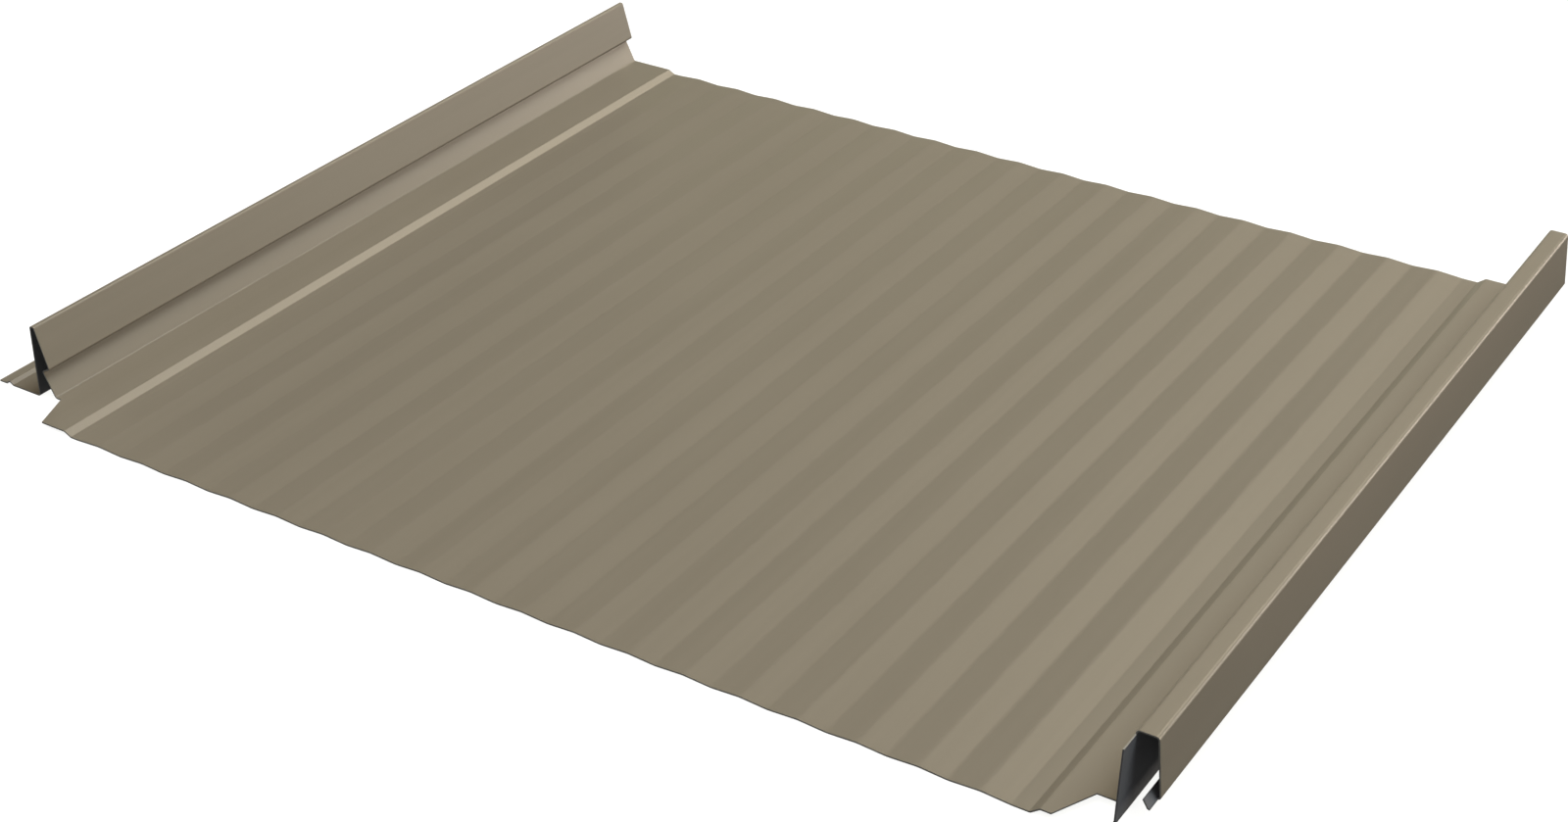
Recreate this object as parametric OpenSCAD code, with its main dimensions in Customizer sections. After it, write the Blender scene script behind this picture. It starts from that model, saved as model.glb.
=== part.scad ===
// Standing seam roof panel: one roll-formed steel sheet with a snap seam along both long edges.
//
// Left edge: a nailing flange and the male seam, a narrow tent with a barb on its pan side.
// Right edge: the female seam, a square rib with a turned-in hook that snaps under the barb.
// Between them: two raised margins and a pan with shallow striations.
//
// X runs across the panel, Y along the seams and Z up. The origin is on the floor, in the middle
// of the panel's width and length. The eave end, with its notched corners, faces -Y.

/* [Sheet] */
// Width that one laid panel covers, from seam to seam
cover_w = 406.4; // [330:0.1:500]
// Length of the panel along its seams
panel_l = 350; // [200:0.1:1200]
// Thickness of the coated sheet
sheet_t = 0.5; // [0.4:0.05:0.65]

/* [Pan] */
// Number of striations, the low ridges along the pan
ridge_count = 18; // [8:1:20]
// Height of a striation from valley to crest
ridge_h = 0.62; // [0.3:0.02:1.2]
// Radius to which crests and valleys are rolled
ridge_r = 14; // [6:1:24]
// Flat strip between the left step and the first striation
flat_left = 3; // [2:0.5:6]
// Flat strip between the last striation and the right step
flat_right = 5.5; // [2:0.5:10]
// Width of the sloping step at either side of the pan
step_w = 2.9; // [2.5:0.1:5]
// Width of the raised margin beside the male seam
margin_left_w = 18.1; // [12:0.1:30]
// Height of the margin beside the male seam above the pan valleys
margin_left_h = 1.5; // [1:0.1:2.2]
// Width of the raised margin beside the female seam
margin_right_w = 19.6; // [14:0.1:30]
// Height of the margin beside the female seam above the pan valleys
margin_right_h = 2.2; // [1.6:0.1:2.6]

/* [Male seam] */
// Width of the nailing flange outside the male leg
flange_w = 19; // [19:0.5:32]
// Width of the flat strip outside the stiffening bead
flange_lip_w = 3.2; // [2.5:0.1:6]
// Width of the stiffening bead in the flange
bead_w = 3.2; // [2.8:0.1:4.5]
// Height of the stiffening bead
bead_h = 1.1; // [0.8:0.1:1.6]
// Outside width of the narrow fold on top of the tent
tent_top_w = 2.1; // [2:0.1:2.6]
// How far the outer leg leans towards the pan between flange and top
tent_lean = 0.8; // [0:0.1:1.2]
// Height of the barb's tip above the floor
barb_z = 12.3; // [12:0.1:14]
// Slope of the barb's underside, falling towards the neck
barb_slope = 24; // [15:1:30]
// Depth of the neck under the barb
neck_w = 3.4; // [3:0.1:3.6]
// Distance from the outer leg's face to the foot of the tent's pan side
tent_foot_w = 8; // [7.4:0.1:9]

/* [Female seam] */
// Height of the rib's top above the margin beside it
rib_h = 25.4; // [24:0.1:38]
// Outside width of the rib's top
rib_w = 6.9; // [6.6:0.1:8]
// How far the outer leg spreads outwards from top to hook
rib_spread = 1.8; // [1.4:0.1:2.2]
// Height of the hook's underside above the floor
hook_z = 8.1; // [7.8:0.1:8.3]
// How far the hook reaches in under the rib
hook_w = 2.9; // [2.7:0.1:3.2]

/* [Seam fit] */
// Sideways clearance between the legs of two joined panels
seam_gap = 0.2; // [0.1:0.05:0.4]
// Clearance between the male top and the inside of the female top
top_gap = 0.25; // [0.1:0.05:0.6]
// Clearance between the hook's edge and the barb above it
snap_gap = 0.3; // [0.15:0.05:0.5]

/* [Bends] */
// Radius of an ordinary bend, at the middle of the sheet
bend_r = 1; // [0.9:0.05:1.1]
// Radius of a tight bend, at the middle of the sheet
tight_r = 0.6; // [0.55:0.05:0.65]

/* [Eave end] */
// How far the pan reaches past the seams, as the tab that is folded at the eave
tab_l = 13.8; // [10:0.1:25]
// How far the tab's left corner stands in from the male foot
tab_inset_left = 7.8; // [5:0.1:12]
// How far the tab's right corner stands in from the female leg
tab_inset_right = 16.3; // [10:0.1:18]
// Sideways run of the left corner cut
cut_left_w = 5.4; // [3:0.1:7]
// Sideways run of the right corner cut
cut_right_w = 6.6; // [4:0.1:9]
// How far the female inner leg reaches past the rib's top, at its foot
leg_tongue_l = 9.9; // [6:0.1:11]
// How far that tongue's front edge leans back from foot to top
leg_tongue_lean = 2.2; // [0.5:0.1:3]
// Radius of the tongue's lower corner
leg_tongue_r = 2.5; // [1:0.1:4]
// How far the hook reaches past the rib's outer leg
hook_tongue_l = 5.2; // [2:0.1:8]

/* [Fastening slots] */
// Width of a slot
slot_w = 4.8; // [4:0.1:6]
// Length of a slot, along the panel
slot_l = 12.7; // [10:0.1:20]
// Distance from slot to slot
slot_pitch = 76.2; // [50:0.1:150]
// Least distance from a slot's middle to an end of the flange
slot_end = 40; // [20:1:60]

/* [Hidden] */

half_t = sheet_t / 2;

// How far a cutter reaches past what it cuts.
cut_over = 5;

// Largest turn of one short flat in a bend, in degrees, and the sides of a slot's round end.
bend_step = 12;
slot_sides = 48;

// Heights at the middle of the sheet.
floor_mid = half_t;
ridge_mid = floor_mid + ridge_h;
margin_left_mid = floor_mid + margin_left_h;
margin_right_mid = floor_mid + margin_right_h;
rib_top_mid = margin_right_mid + rib_h;
tent_top_mid = rib_top_mid - sheet_t - top_gap;
hook_mid = hook_z + half_t;

// Male seam across the panel, from the outer leg's face at x = 0.
flange_edge_x = -flange_w;
bead_x = flange_edge_x + flange_lip_w + bead_w / 2;
outer_leg_x = half_t;
tent_left_x = outer_leg_x + tent_lean;
tent_right_x = tent_left_x + tent_top_w - sheet_t;
tent_foot_x = tent_foot_w;

// Female seam across the panel; its inner leg stands beside the neighbour's male leg.
leg_x = cover_w - seam_gap - half_t;
leg_bend_x = leg_x - bend_r;
leg_clear_x = leg_x + half_t + seam_gap;
rib_right_x = leg_x + rib_w - sheet_t;
hook_x = rib_right_x + rib_spread;
hook_turn_w = sheet_t + tight_r;
hook_tip_x = hook_x + half_t - hook_w;

// The barb's tip rests against the inside of the female outer leg when two panels are joined.
rib_fall = rib_top_mid - hook_mid;
spread_at_barb = rib_spread * (rib_top_mid - barb_z) / rib_fall;
barb_x = rib_right_x + spread_at_barb - half_t - cover_w - half_t;
neck_x = barb_x - neck_w;
neck_z = barb_z - neck_w * tan(barb_slope);

// The hook's edge stays below the barb's underside where the two meet.
hook_meets_x = hook_tip_x - cover_w;
barb_under_z = barb_z - (barb_x - hook_meets_x) * tan(barb_slope) - half_t / cos(barb_slope);
hook_tip_z = barb_under_z - snap_gap;

// Pan between the two raised margins.
step_left_top_x = tent_foot_x + margin_left_w;
step_left_foot_x = step_left_top_x + step_w;
step_right_top_x = leg_x - margin_right_w;
step_right_foot_x = step_right_top_x - step_w;
ridges_left_x = step_left_foot_x + flat_left;
ridges_right_x = step_right_foot_x - flat_right;
ridge_pitch = (ridges_right_x - ridges_left_x) / ridge_count;

// The sheet as [x, z, bend radius], along its middle from the flange's edge to the hook's edge.
male_path = [
    [flange_edge_x, floor_mid, 0],
    [bead_x - bead_w / 2, floor_mid, tight_r],
    [bead_x, floor_mid + bead_h, tight_r],
    [bead_x + bead_w / 2, floor_mid, tight_r],
    [outer_leg_x, floor_mid, bend_r],
    [tent_left_x, tent_top_mid, tight_r],
    [tent_right_x, tent_top_mid, tight_r],
    [barb_x, barb_z, tight_r],
    [neck_x, neck_z, bend_r],
    [tent_foot_x, margin_left_mid, bend_r],
];
left_step_path = [
    [step_left_top_x, margin_left_mid, bend_r],
    [step_left_foot_x, floor_mid, bend_r],
    [ridges_left_x, floor_mid, ridge_r],
];
ridge_path = [
    for (i = [0 : ridge_count - 1])
        each [
            [ridges_left_x + (i + 0.5) * ridge_pitch, ridge_mid, ridge_r],
            [ridges_left_x + (i + 1) * ridge_pitch, floor_mid, ridge_r],
        ]
];
right_step_path = [
    [step_right_foot_x, floor_mid, bend_r],
    [step_right_top_x, margin_right_mid, bend_r],
];
female_path = [
    [leg_x, margin_right_mid, bend_r],
    [leg_x, rib_top_mid, bend_r],
    [rib_right_x, rib_top_mid, bend_r],
    [hook_x, hook_mid, tight_r],
    [hook_x - hook_turn_w, hook_mid, tight_r],
    [hook_tip_x, hook_tip_z, 0],
];
sheet_path = concat(male_path, left_step_path, ridge_path, right_step_path, female_path);

// Overall size, for the origin and the cutters; the hook's bend reaches furthest right.
hook_bend = bend_centre(
    [rib_right_x, rib_top_mid], [hook_x, hook_mid], [hook_x - hook_turn_w, hook_mid], tight_r
);
left_x = flange_edge_x;
right_x = hook_bend.x + tight_r + half_t;
middle_x = (left_x + right_x) / 2;
top_z = rib_top_mid + half_t;

function unit(v) = v / norm(v);
function left_of(v) = [-v.y, v.x];
function turned(v, angle) = [
    v.x * cos(angle) - v.y * sin(angle),
    v.x * sin(angle) + v.y * cos(angle),
];
function flat(p) = [p.x, p.y];

// Signed turn of a path that runs from a over b to c, anticlockwise positive.
function turn_at(a, b, c) = atan2(cross(b - a, c - b), (b - a) * (c - b));

// Centre of the bend at b between a and c.
function bend_centre(a, b, c, radius) =
    b + unit(unit(c - b) - unit(b - a)) * radius / cos(turn_at(a, b, c) / 2);

// Points of the bend at b between a and c, on the face that lies `side` to the left of the middle.
function bend_points(a, b, c, radius, side) =
    let (
        turn = turn_at(a, b, c),
        hand = sign(turn),
        centre = bend_centre(a, b, c, radius),
        from = unit(b - a),
        steps = ceil(abs(turn) / bend_step) + 1
    )
    [
        for (k = [0 : steps])
            centre - hand * turned(left_of(from), turn * k / steps) * (radius - hand * side)
    ];

// One face of the sheet along a whole path.
function face_points(path, side) =
    let (last = len(path) - 1)
    concat(
        [flat(path[0]) + left_of(unit(flat(path[1]) - flat(path[0]))) * side],
        [
            for (i = [1 : last - 1])
                each bend_points(
                    flat(path[i - 1]), flat(path[i]), flat(path[i + 1]), path[i].z, side
                )
        ],
        [flat(path[last]) + left_of(unit(flat(path[last]) - flat(path[last - 1]))) * side]
    );

function reversed(points) = [for (i = [len(points) - 1 : -1 : 0]) points[i]];

// The sheet's cross-section, drawn in X and Z.
module sheet_section() {
    polygon(concat(
        face_points(sheet_path, half_t),
        reversed(face_points(sheet_path, -half_t))
    ));
}

// Sweeps a shape drawn in X and Z along Y, from y = from_y on.
module along(from_y, length) {
    translate([0, from_y + length, 0])
        rotate([90, 0, 0])
            linear_extrude(height = length)
                children();
}

// Cuts the male seam back and chamfers the tab's left corner.
module left_corner_cut() {
    tab_x = tent_foot_x + tab_inset_left;
    translate([0, 0, -cut_over])
        linear_extrude(height = top_z + 2 * cut_over)
            polygon([
                [left_x - cut_over, -cut_over],
                [tab_x, -cut_over],
                [tab_x, 0],
                [tab_x - cut_left_w, tab_l],
                [left_x - cut_over, tab_l],
            ]);
}

// Cuts the right margin back beside the female leg and chamfers the tab's right corner.
module right_corner_cut() {
    tab_x = leg_x - tab_inset_right;
    translate([0, 0, -cut_over])
        linear_extrude(height = top_z + 2 * cut_over)
            polygon([
                [tab_x, -cut_over],
                [leg_bend_x, -cut_over],
                [leg_bend_x, tab_l],
                [tab_x + cut_right_w, tab_l],
                [tab_x, 0],
            ]);
}

// Shapes the front edge of the leg's tongue, drawn in Y and Z: it leans back and its foot is round.
module leg_tongue_cut() {
    foot = [tab_l - leg_tongue_l, margin_right_mid - half_t];
    head = [foot.x + leg_tongue_lean, top_z];
    translate([leg_bend_x - cut_over, 0, 0])
        rotate([90, 0, 90])
            linear_extrude(height = leg_clear_x - leg_bend_x + cut_over)
                polygon(concat(
                    [[-cut_over, top_z + cut_over], [head.x, top_z + cut_over], head],
                    bend_points(head, foot, [tab_l, foot.y], leg_tongue_r, 0),
                    [[tab_l, foot.y], [tab_l, -cut_over], [-cut_over, -cut_over]]
                ));
}

// Cuts the rib's top and outer leg back, so that the leg and the hook stand forward of them.
module rib_front_cut() {
    leg_top_z = rib_top_mid - bend_r;
    hook_edge_x = hook_x - hook_turn_w / 2;
    hook_clear_z = hook_tip_z + sheet_t;
    along(-cut_over, cut_over + tab_l)
        polygon([
            [leg_bend_x, leg_top_z],
            [leg_clear_x, leg_top_z],
            [leg_clear_x, hook_clear_z],
            [hook_edge_x, hook_clear_z],
            [hook_edge_x, 0],
            [right_x + cut_over, 0],
            [right_x + cut_over, top_z + cut_over],
            [leg_bend_x, top_z + cut_over],
        ]);
}

// Cuts the hook's front edge.
module hook_front_cut() {
    hook_front_y = tab_l - hook_tongue_l;
    translate([leg_clear_x, -cut_over, 0])
        cube([rib_w + rib_spread + cut_over, cut_over + hook_front_y, top_z]);
}

// One slot through the flange, long side along the panel.
module flange_slot() {
    straight_l = slot_l - slot_w;
    translate([0, 0, -cut_over]) {
        for (end = [-1, 1])
            translate([0, end * straight_l / 2, 0])
                cylinder(h = 2 * cut_over, d = slot_w, $fn = slot_sides);
        translate([-slot_w / 2, -straight_l / 2, 0])
            cube([slot_w, straight_l, 2 * cut_over]);
    }
}

// The row of slots, in the middle of the flange's flat and of its length.
module flange_slots() {
    bead_foot_x = bead_x + bead_w / 2;
    row_x = bead_foot_x / 2;
    row_y = (tab_l + panel_l) / 2;
    gaps = floor((panel_l - tab_l - 2 * slot_end) / slot_pitch);
    for (i = [0 : gaps])
        translate([row_x, row_y + (i - gaps / 2) * slot_pitch, 0])
            flange_slot();
}

module roof_panel() {
    color("#857c6a")
        translate([-middle_x, -panel_l / 2, 0])
            difference() {
                along(0, panel_l)
                    sheet_section();
                left_corner_cut();
                right_corner_cut();
                leg_tongue_cut();
                rib_front_cut();
                hook_front_cut();
                flange_slots();
            }
}

roof_panel();
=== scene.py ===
"""Looks of a standing seam roof panel, one roll-formed sheet of coil-coated steel.

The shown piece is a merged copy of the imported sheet. Its two skins and its sheared edges are told
apart by the bends between them, and each gets its own finish: taupe topcoat on the weather side,
charcoal backer coat underneath, and bare zinc-coated steel where the sheet was cut.
"""

import logging
import math
from dataclasses import dataclass
from enum import IntEnum
from typing import Any

import bmesh
import bpy
from mathutils import Euler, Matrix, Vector


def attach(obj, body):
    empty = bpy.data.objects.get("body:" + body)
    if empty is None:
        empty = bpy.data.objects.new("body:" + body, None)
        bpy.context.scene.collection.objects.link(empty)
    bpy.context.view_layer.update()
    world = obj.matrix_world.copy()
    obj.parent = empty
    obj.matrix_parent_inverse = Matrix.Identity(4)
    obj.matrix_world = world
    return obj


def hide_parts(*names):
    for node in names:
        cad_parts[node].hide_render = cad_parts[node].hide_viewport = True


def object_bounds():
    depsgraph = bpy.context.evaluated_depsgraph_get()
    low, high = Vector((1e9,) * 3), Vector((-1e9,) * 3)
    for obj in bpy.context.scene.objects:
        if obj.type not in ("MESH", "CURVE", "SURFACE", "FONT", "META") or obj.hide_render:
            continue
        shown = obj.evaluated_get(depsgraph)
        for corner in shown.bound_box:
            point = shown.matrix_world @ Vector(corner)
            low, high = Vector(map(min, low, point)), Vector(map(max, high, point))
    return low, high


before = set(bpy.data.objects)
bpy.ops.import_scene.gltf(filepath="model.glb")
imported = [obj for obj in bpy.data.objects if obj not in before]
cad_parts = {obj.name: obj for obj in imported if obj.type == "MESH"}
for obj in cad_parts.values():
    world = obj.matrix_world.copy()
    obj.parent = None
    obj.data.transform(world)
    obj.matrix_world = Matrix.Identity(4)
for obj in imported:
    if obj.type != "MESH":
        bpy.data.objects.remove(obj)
CAD_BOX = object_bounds()

MM = 0.001
log = logging.getLogger("roof_panel")


class SheetSide(IntEnum):
    """Where a face of the sheet lies; the value is its material index."""

    WEATHER = 0
    BACKER = 1
    SHEARED = 2


class ColourMix(IntEnum):
    """The sockets of a Mix node that mixes colours; other sockets have the same names."""

    SHARE = 0
    FIRST = 6
    SECOND = 7
    RESULT = 2


def linear(hex_colour: str) -> tuple[float, float, float, float]:
    """Turns an sRGB hex colour into linear RGBA, by the curve of the sRGB standard.

    Args:
        hex_colour: The colour as "#rrggbb".

    Returns:
        Red, green, blue and an alpha of one, in scene-linear values.
    """
    channels = [int(hex_colour[i : i + 2], 16) / 255 for i in (1, 3, 5)]
    red, green, blue = (
        c / 12.92 if c <= 0.04045 else ((c + 0.055) / 1.055) ** 2.4 for c in channels
    )
    return (red, green, blue, 1.0)


def add_node(
    tree: bpy.types.NodeTree,
    kind: str,
    settings: dict[str, Any] | None = None,
    inputs: dict[str | int, Any] | None = None,
) -> bpy.types.Node:
    """Adds a node to a tree with its settings, values and links.

    Args:
        tree: The tree that gets the node.
        kind: The node's type, such as "ShaderNodeTexNoise".
        settings: Attributes of the node itself.
        inputs: Values for its sockets, by name or number; a socket as value is linked.

    Returns:
        The new node.
    """
    node = tree.nodes.new(kind)
    for name, value in (settings or {}).items():
        setattr(node, name, value)
    for name, value in (inputs or {}).items():
        if isinstance(value, bpy.types.NodeSocket):
            tree.links.new(value, node.inputs[name])
        else:
            node.inputs[name].default_value = value
    return node


@dataclass(frozen=True)
class CoilCoat:
    """Paint that was rolled onto the flat coil and cured, before the sheet was formed.

    It is even and low in gloss. The roller leaves faint streaks along the coil, which runs along
    the panel, and the cured paint has a soft orange peel. The topcoat has a thin clear film of
    binder over its pigment, which gives the bends a thin brighter line; the backer coat has none.

    The streaks and a share of some large soft clouds are added up. The spans say which part of
    that sum runs from the colour to the streak colour, and from the glossiest to the dullest.
    """

    name: str
    colour: str
    streak_colour: str
    roughness: float
    roughness_spread: float
    specular: float
    film: float
    film_roughness: float = 0.2
    peel_mm: float = 1.6
    peel_height_mm: float = 0.004
    peel_detail: float = 1.0
    streak_mm: float = 3.5
    streak_run_mm: float = 260.0
    streak_detail: float = 4.0
    cloud_mm: float = 70.0
    cloud_detail: float = 2.0
    cloud_share: float = 0.5
    colour_span: tuple[float, float] = (0.5, 1.0)
    gloss_span: tuple[float, float] = (0.4, 1.1)

    def material(self) -> bpy.types.Material:
        """Builds the paint's material."""
        made = bpy.data.materials.new(self.name)
        made.use_nodes = True
        tree = made.node_tree
        shader = tree.nodes["Principled BSDF"]
        place = add_node(tree, "ShaderNodeTexCoord").outputs["Object"]
        streaks = self.streaks(tree, place)
        clouds = add_node(
            tree,
            "ShaderNodeTexNoise",
            inputs={
                "Vector": place,
                "Scale": 1 / (self.cloud_mm * MM),
                "Detail": self.cloud_detail,
            },
        )
        blend = add_node(
            tree,
            "ShaderNodeMath",
            {"operation": "MULTIPLY_ADD"},
            {0: clouds.outputs["Fac"], 1: self.cloud_share, 2: streaks},
        )
        tint = add_node(
            tree,
            "ShaderNodeMapRange",
            inputs={
                "Value": blend.outputs[0],
                "From Min": self.colour_span[0],
                "From Max": self.colour_span[1],
            },
        )
        colour = add_node(
            tree,
            "ShaderNodeMix",
            {"data_type": "RGBA"},
            {
                ColourMix.SHARE: tint.outputs[0],
                ColourMix.FIRST: linear(self.colour),
                ColourMix.SECOND: linear(self.streak_colour),
            },
        )
        tree.links.new(colour.outputs[ColourMix.RESULT], shader.inputs["Base Color"])
        gloss = add_node(
            tree,
            "ShaderNodeMapRange",
            inputs={
                "Value": blend.outputs[0],
                "From Min": self.gloss_span[0],
                "From Max": self.gloss_span[1],
                "To Min": self.roughness - self.roughness_spread,
                "To Max": self.roughness + self.roughness_spread,
            },
        )
        tree.links.new(gloss.outputs[0], shader.inputs["Roughness"])
        tree.links.new(self.orange_peel(tree, place), shader.inputs["Normal"])
        shader.inputs["Specular IOR Level"].default_value = self.specular
        shader.inputs["Coat Weight"].default_value = self.film
        shader.inputs["Coat Roughness"].default_value = self.film_roughness
        return made

    def streaks(
        self, tree: bpy.types.NodeTree, place: bpy.types.NodeSocket
    ) -> bpy.types.NodeSocket:
        """Adds the roller's streaks, drawn out along the panel.

        Args:
            tree: The paint's node tree.
            place: Object coordinates.

        Returns:
            The streaks as a socket from about zero to one.
        """
        along_coil = add_node(
            tree,
            "ShaderNodeMapping",
            inputs={
                "Vector": place,
                "Scale": (
                    1 / (self.streak_mm * MM),
                    1 / (self.streak_run_mm * MM),
                    1 / (self.streak_mm * MM),
                ),
            },
        )
        noise = add_node(
            tree,
            "ShaderNodeTexNoise",
            inputs={
                "Vector": along_coil.outputs[0],
                "Scale": 1.0,
                "Detail": self.streak_detail,
            },
        )
        return noise.outputs["Fac"]

    def orange_peel(
        self, tree: bpy.types.NodeTree, place: bpy.types.NodeSocket
    ) -> bpy.types.NodeSocket:
        """Adds the paint's orange peel.

        Args:
            tree: The paint's node tree.
            place: Object coordinates.

        Returns:
            The bumped normal.
        """
        peel = add_node(
            tree,
            "ShaderNodeTexNoise",
            inputs={
                "Vector": place,
                "Scale": 1 / (self.peel_mm * MM),
                "Detail": self.peel_detail,
            },
        )
        bump = add_node(
            tree,
            "ShaderNodeBump",
            inputs={"Distance": self.peel_height_mm * MM, "Height": peel.outputs["Fac"]},
        )
        return bump.outputs[0]


@dataclass(frozen=True)
class ShearedEdge:
    """The cut through zinc-coated steel: dull grey metal with the fine tear lines of the shear."""

    name: str = "sheared_zinc_coated_steel"
    colour: str = "#9a9892"
    dull_colour: str = "#75736d"
    roughness: float = 0.45
    metallic: float = 0.4
    tear_mm: float = 0.35
    tear_detail: float = 2.0
    tear_depth_mm: float = 0.02
    tear_strength: float = 0.4

    def material(self) -> bpy.types.Material:
        """Builds the edge's material."""
        made = bpy.data.materials.new(self.name)
        made.use_nodes = True
        tree = made.node_tree
        shader = tree.nodes["Principled BSDF"]
        place = add_node(tree, "ShaderNodeTexCoord").outputs["Object"]
        tears = add_node(
            tree,
            "ShaderNodeTexNoise",
            inputs={
                "Vector": place,
                "Scale": 1 / (self.tear_mm * MM),
                "Detail": self.tear_detail,
            },
        )
        colour = add_node(
            tree,
            "ShaderNodeMix",
            {"data_type": "RGBA"},
            {
                ColourMix.SHARE: tears.outputs["Fac"],
                ColourMix.FIRST: linear(self.colour),
                ColourMix.SECOND: linear(self.dull_colour),
            },
        )
        tree.links.new(colour.outputs[ColourMix.RESULT], shader.inputs["Base Color"])
        bump = add_node(
            tree,
            "ShaderNodeBump",
            inputs={
                "Strength": self.tear_strength,
                "Distance": self.tear_depth_mm * MM,
                "Height": tears.outputs["Fac"],
            },
        )
        tree.links.new(bump.outputs[0], shader.inputs["Normal"])
        shader.inputs["Metallic"].default_value = self.metallic
        shader.inputs["Roughness"].default_value = self.roughness
        return made


@dataclass(frozen=True)
class BackdropPaper:
    """Matt white studio paper with a fine tooth, which keeps its shine off."""

    name: str = "matt_white_paper"
    colour: str = "#f4f4f2"
    roughness: float = 0.9
    specular: float = 0.1
    tooth_mm: float = 2.0
    tooth_height_mm: float = 0.1
    tooth_strength: float = 0.1

    def material(self) -> bpy.types.Material:
        """Builds the paper's material."""
        made = bpy.data.materials.new(self.name)
        made.use_nodes = True
        tree = made.node_tree
        shader = tree.nodes["Principled BSDF"]
        place = add_node(tree, "ShaderNodeTexCoord").outputs["Object"]
        tooth = add_node(
            tree,
            "ShaderNodeTexNoise",
            inputs={"Vector": place, "Scale": 1 / (self.tooth_mm * MM)},
        )
        bump = add_node(
            tree,
            "ShaderNodeBump",
            inputs={
                "Strength": self.tooth_strength,
                "Distance": self.tooth_height_mm * MM,
                "Height": tooth.outputs["Fac"],
            },
        )
        tree.links.new(bump.outputs[0], shader.inputs["Normal"])
        shader.inputs["Base Color"].default_value = linear(self.colour)
        shader.inputs["Roughness"].default_value = self.roughness
        shader.inputs["Specular IOR Level"].default_value = self.specular
        return made


TOPCOAT = CoilCoat(
    name="taupe_coil_coat",
    colour="#7b7262",
    streak_colour="#7e7565",
    roughness=0.40,
    roughness_spread=0.02,
    specular=0.375,
    film=0.10,
)
BACKER_COAT = CoilCoat(
    name="charcoal_backer_coat",
    colour="#5e5e5f",
    streak_colour="#636364",
    roughness=0.5,
    roughness_spread=0.03,
    specular=0.15,
    film=0.0,
)


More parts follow.
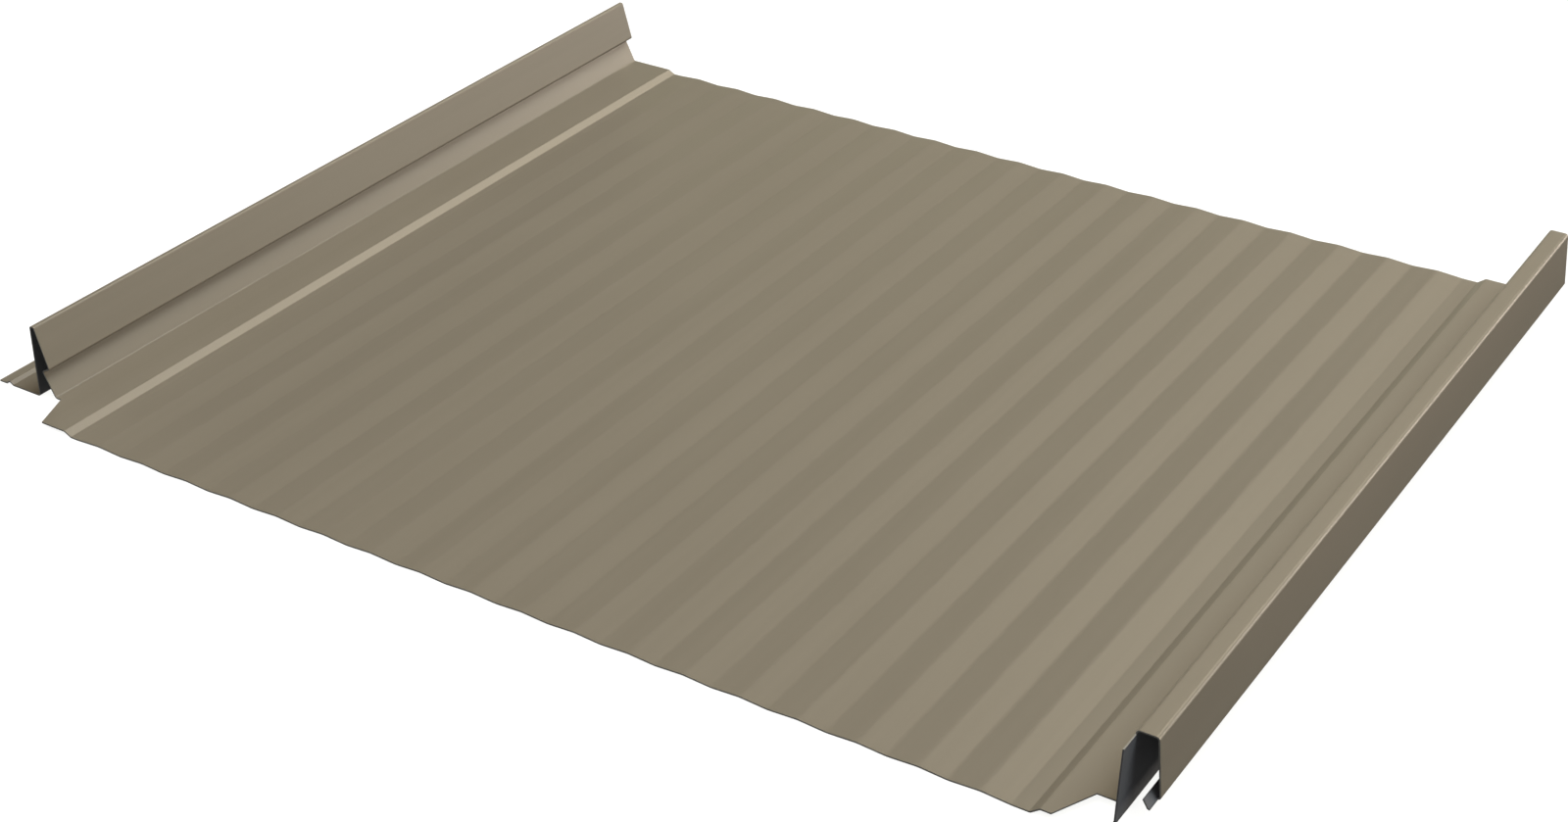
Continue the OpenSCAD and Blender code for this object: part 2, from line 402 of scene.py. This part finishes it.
@dataclass
class RoofPanel:
    """The roll-formed sheet: nailing flange, male seam, striated pan and female seam."""

    node: str = "roof_panel"
    piece_name: str = "panel_sheet"
    slot: str = "coated_steel"
    merge_mm: float = 0.001
    flat_within_deg: float = 0.2
    bend_step_deg: float = 30.0
    edge_round_mm: float = 0.05
    edge_segments: int = 2
    shade_within_deg: float = 50.0

    def build(self) -> bpy.types.Object:
        """Builds the shown sheet.

        Returns:
            The piece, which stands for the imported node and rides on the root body.
        """
        sheet = self.merged_copy()
        self.sort_sides(sheet)
        self.round_cut_edges(sheet)
        piece = self.to_piece(sheet)
        self.dress(piece)
        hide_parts(self.node)
        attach(piece, "root")
        return piece

    def merged_copy(self) -> bmesh.types.BMesh:
        """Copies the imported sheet's triangles and joins them to one clean closed mesh.

        Returns:
            The sheet with one face for each flat.
        """
        sheet = bmesh.new()
        sheet.from_mesh(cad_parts[self.node].data)
        bmesh.ops.remove_doubles(sheet, verts=sheet.verts, dist=self.merge_mm * MM)
        bmesh.ops.dissolve_limit(
            sheet,
            angle_limit=math.radians(self.flat_within_deg),
            verts=sheet.verts,
            edges=sheet.edges,
        )
        return sheet

    def turn(self, edge: bmesh.types.BMEdge) -> float:
        """Angle in degrees by which the sheet's surface turns at an edge."""
        return math.degrees(edge.calc_face_angle(0.0))

    def regions(self, sheet: bmesh.types.BMesh) -> list[list[bmesh.types.BMFace]]:
        """Groups the faces that only gentle bends part, so each skin is one group.

        Args:
            sheet: The merged sheet.

        Returns:
            The groups, largest first.
        """
        groups, seen = [], set()
        for first in sheet.faces:
            if first in seen:
                continue
            seen.add(first)
            group, waiting = [], [first]
            while waiting:
                face = waiting.pop()
                group.append(face)
                gentle = [e for e in face.edges if self.turn(e) < self.bend_step_deg]
                for neighbour in {f for e in gentle for f in e.link_faces} - seen:
                    seen.add(neighbour)
                    waiting.append(neighbour)
            groups.append(group)
        return sorted(groups, key=lambda g: -sum(f.calc_area() for f in g))

    def sort_sides(self, sheet: bmesh.types.BMesh) -> None:
        """Gives each face the material index of its side.

        The two largest groups are the skins, and the one that faces up is the weather side.

        Args:
            sheet: The merged sheet.
        """
        skins = self.regions(sheet)[:2]
        skins.sort(key=lambda g: -sum(f.normal.z * f.calc_area() for f in g))
        for face in sheet.faces:
            face.material_index = SheetSide.SHEARED
        for side, skin in zip((SheetSide.WEATHER, SheetSide.BACKER), skins):
            for face in skin:
                face.material_index = side

    def round_cut_edges(self, sheet: bmesh.types.BMesh) -> None:
        """Takes the sharpness off the sheared edges, as paint and shear leave them.

        Args:
            sheet: The merged sheet, its sides sorted.
        """
        sharp = [e for e in sheet.edges if self.turn(e) > self.shade_within_deg]
        bmesh.ops.bevel(
            sheet,
            geom=sharp,
            offset=self.edge_round_mm * MM,
            offset_type="OFFSET",
            affect="EDGES",
            segments=self.edge_segments,
            profile=0.5,
            material=-1,
            clamp_overlap=True,
        )

    def to_piece(self, sheet: bmesh.types.BMesh) -> bpy.types.Object:
        """Turns the sheet into an object with smooth bends and crisp edges.

        Args:
            sheet: The finished sheet; it is freed.

        Returns:
            The object, linked to the scene.
        """
        for face in sheet.faces:
            face.smooth = True
        for edge in sheet.edges:
            edge.smooth = self.turn(edge) < self.shade_within_deg
        mesh = bpy.data.meshes.new(self.piece_name)
        sheet.to_mesh(mesh)
        sheet.free()
        piece = bpy.data.objects.new(self.piece_name, mesh)
        bpy.context.scene.collection.objects.link(piece)
        flats_first = piece.modifiers.new("flats_stay_flat", "WEIGHTED_NORMAL")
        flats_first.mode = "FACE_AREA"
        flats_first.keep_sharp = True
        return piece

    def dress(self, piece: bpy.types.Object) -> None:
        """Gives each side of the sheet its finish, in the order of SheetSide.

        Args:
            piece: The shown sheet.
        """
        for finish in (TOPCOAT, BACKER_COAT, ShearedEdge()):
            piece.data.materials.append(finish.material())


@dataclass(frozen=True)
class SoftLight:
    """A soft studio light, far enough away to light evenly all over.

    Azimuth 0 is beyond the far end of the panel and 90 is on the female side. The strength is
    the brightness that the light gives to a white surface turned to it. A glint light only shows
    in what is glossy.
    """

    name: str
    azimuth_deg: float
    elevation_deg: float
    strength: float
    spread_deg: float = 30.0
    colour: str = "#ffffff"
    shadow: bool = True
    glint: bool = False

    def hang(self, lit: bpy.types.Collection) -> None:
        """Adds the light.

        Args:
            lit: What the light falls on; flags keep it off all else.
        """
        lamp = bpy.data.lights.new(self.name, "SUN")
        lamp.energy = self.strength * math.pi
        lamp.angle = math.radians(self.spread_deg)
        lamp.color = linear(self.colour)[:3]
        lamp.use_shadow = self.shadow
        holder = bpy.data.objects.new(self.name, lamp)
        a, e = math.radians(self.azimuth_deg), math.radians(self.elevation_deg)
        towards = Vector((math.sin(a) * math.cos(e), math.cos(a) * math.cos(e), math.sin(e)))
        holder.rotation_euler = towards.to_track_quat("Z", "Y").to_euler()
        holder.light_linking.receiver_collection = lit
        holder.visible_diffuse = not self.glint
        bpy.context.scene.collection.objects.link(holder)


@dataclass(frozen=True)
class BounceBoard:
    """A pale board on the floor beside the female seam, which lights the outer leg from below.

    Its near edge is kept off the sheet, so the leg gets darker towards its foot.
    """

    name: str = "bounce_board"
    near_mm: float = 20.0
    far_mm: float = 320.0
    front_mm: float = -80.0
    back_mm: float = 600.0
    lift_mm: float = 0.1
    brightness: float = 0.15
    colour: str = "#ffe2c8"

    def lay(self, lit: bpy.types.Collection) -> None:
        """Lays the board, measured from the sheet's female side.

        Args:
            lit: What the board lights.
        """
        edge = CAD_BOX[1][0] / MM
        lamp = bpy.data.lights.new(self.name, "AREA")
        lamp.shape = "RECTANGLE"
        lamp.size = (self.far_mm - self.near_mm) * MM
        lamp.size_y = (self.back_mm - self.front_mm) * MM
        lamp.energy = self.brightness * math.pi * lamp.size * lamp.size_y
        lamp.color = linear(self.colour)[:3]
        holder = bpy.data.objects.new(self.name, lamp)
        across = edge + (self.near_mm + self.far_mm) / 2
        along = (self.front_mm + self.back_mm) / 2
        holder.location = Vector((across, along, self.lift_mm)) * MM
        holder.rotation_euler = (math.pi, 0.0, 0.0)
        holder.visible_camera = False
        holder.light_linking.receiver_collection = lit
        bpy.context.scene.collection.objects.link(holder)


# Each light's name, azimuth, elevation and strength.
PANEL_LIGHTS = (
    SoftLight("top_softbox", 60.0, 65.0, 0.82, colour="#ecf5ff"),
    SoftLight("warm_far_softbox", 0.0, 45.0, 0.41, colour="#ffefd0"),
    SoftLight("low_far_strip", 30.0, 8.0, 0.31, colour="#ffeedd"),
    SoftLight("low_side_strip", 60.0, 8.0, 0.08, colour="#ffffe8"),
    SoftLight("low_left_strip", -30.0, 8.0, 0.04, colour="#fff8c4"),
    SoftLight("bend_glint", 35.0, 12.0, 0.11, spread_deg=10.0, colour="#fff0dc", glint=True),
    SoftLight("left_fill", -100.0, 12.0, 0.20),
    SoftLight("front_fill", 155.0, 12.0, 0.12),
)
FLOOR_LIGHTS = (
    SoftLight("floor_wash", 0.0, 90.0, 1.0, shadow=False),
    SoftLight("floor_softbox", 0.0, 90.0, 0.25, spread_deg=100.0),
)


@dataclass
class Studio:
    """A plain pale floor under plain soft light.

    The floor is a backdrop: it shows and takes the panel's shadow, and flags keep its glare off
    the panel's sides.
    """

    floor_half_m: float = 12.0
    floor_drop_mm: float = 0.1
    wall_colour: str = "#f8f8f8"
    room_colour: str = "#575757"
    wall_height: float = 0.08

    def build(self, panel: bpy.types.Object) -> None:
        """Lays the floor, hangs the lights and sets the sky.

        Args:
            panel: The shown sheet.
        """
        floor = self.lay_floor()
        for thing, lights in ((panel, PANEL_LIGHTS), (floor, FLOOR_LIGHTS)):
            lit = bpy.data.collections.new(f"lit_{thing.name}")
            lit.objects.link(thing)
            for light in lights:
                light.hang(lit)
            if thing is panel:
                BounceBoard().lay(lit)
        self.set_sky()
        bpy.context.scene.view_settings.view_transform = "Standard"

    def set_sky(self) -> None:
        """Sets the room: a white wall round the horizon, dim above and below it."""
        sky = bpy.data.worlds.new("pale_room")
        sky.use_nodes = True
        tree = sky.node_tree
        direction = add_node(tree, "ShaderNodeTexCoord").outputs["Generated"]
        height = add_node(tree, "ShaderNodeSeparateXYZ", inputs={0: direction}).outputs[2]
        off_horizon = add_node(
            tree, "ShaderNodeMath", {"operation": "ABSOLUTE"}, {0: height}
        )
        rise = add_node(
            tree,
            "ShaderNodeMapRange",
            {"interpolation_type": "SMOOTHSTEP"},
            {"Value": off_horizon.outputs[0], "From Max": self.wall_height},
        )
        shade = add_node(
            tree,
            "ShaderNodeMix",
            {"data_type": "RGBA"},
            {
                ColourMix.SHARE: rise.outputs[0],
                ColourMix.FIRST: linear(self.wall_colour),
                ColourMix.SECOND: linear(self.room_colour),
            },
        )
        background = tree.nodes["Background"]
        tree.links.new(shade.outputs[ColourMix.RESULT], background.inputs["Color"])
        bpy.context.scene.world = sky

    def lay_floor(self) -> bpy.types.Object:
        """Lays the floor just under the sheet.

        Returns:
            The floor.
        """
        paper = bmesh.new()
        bmesh.ops.create_grid(paper, x_segments=1, y_segments=1, size=self.floor_half_m)
        bmesh.ops.translate(paper, verts=paper.verts, vec=(0, 0, -self.floor_drop_mm * MM))
        mesh = bpy.data.meshes.new("studio_floor")
        paper.to_mesh(mesh)
        paper.free()
        floor = bpy.data.objects.new("studio_floor", mesh)
        bpy.context.scene.collection.objects.link(floor)
        mesh.materials.append(BackdropPaper().material())
        floor.visible_diffuse = False
        floor.visible_glossy = False
        floor.visible_shadow = False
        return floor


@dataclass(frozen=True)
class PhotoCamera:
    """The camera that took the photograph: where it stood, how it was turned and its lens.

    An unturned camera looks straight down; level_deg raises it to the horizon.
    """

    place_m: tuple[float, float, float] = (0.41115, -0.64985, 0.43830)
    turn_left_deg: float = 32.464
    look_down_deg: float = 31.046
    roll_deg: float = -0.140
    focal_px: float = 2595.2
    picture_w_px: float = 1600.0
    sensor_mm: float = 36.0
    level_deg: float = 90.0
    nearest_m: float = 0.01
    farthest_m: float = 100.0

    def build(self) -> None:
        """Sets up the camera as the scene's camera."""
        lens = bpy.data.cameras.new("photo_camera")
        lens.sensor_width = self.sensor_mm
        lens.lens = self.focal_px * self.sensor_mm / self.picture_w_px
        lens.clip_start = self.nearest_m
        lens.clip_end = self.farthest_m
        holder = bpy.data.objects.new("photo_camera", lens)
        holder.location = self.place_m
        tilt = math.radians(self.level_deg - self.look_down_deg)
        turned = Euler((tilt, 0.0, math.radians(self.turn_left_deg)))
        rolled = Euler((0.0, 0.0, math.radians(self.roll_deg)))
        holder.rotation_euler = (turned.to_matrix() @ rolled.to_matrix()).to_euler()
        bpy.context.scene.collection.objects.link(holder)
        bpy.context.scene.camera = holder


def main() -> None:
    """Builds the panel, the studio and the camera."""
    logging.basicConfig(level=logging.INFO, format="%(name)s: %(message)s")
    piece = RoofPanel().build()
    Studio().build(piece)
    PhotoCamera().build()


if __name__ == "__main__":
    main()
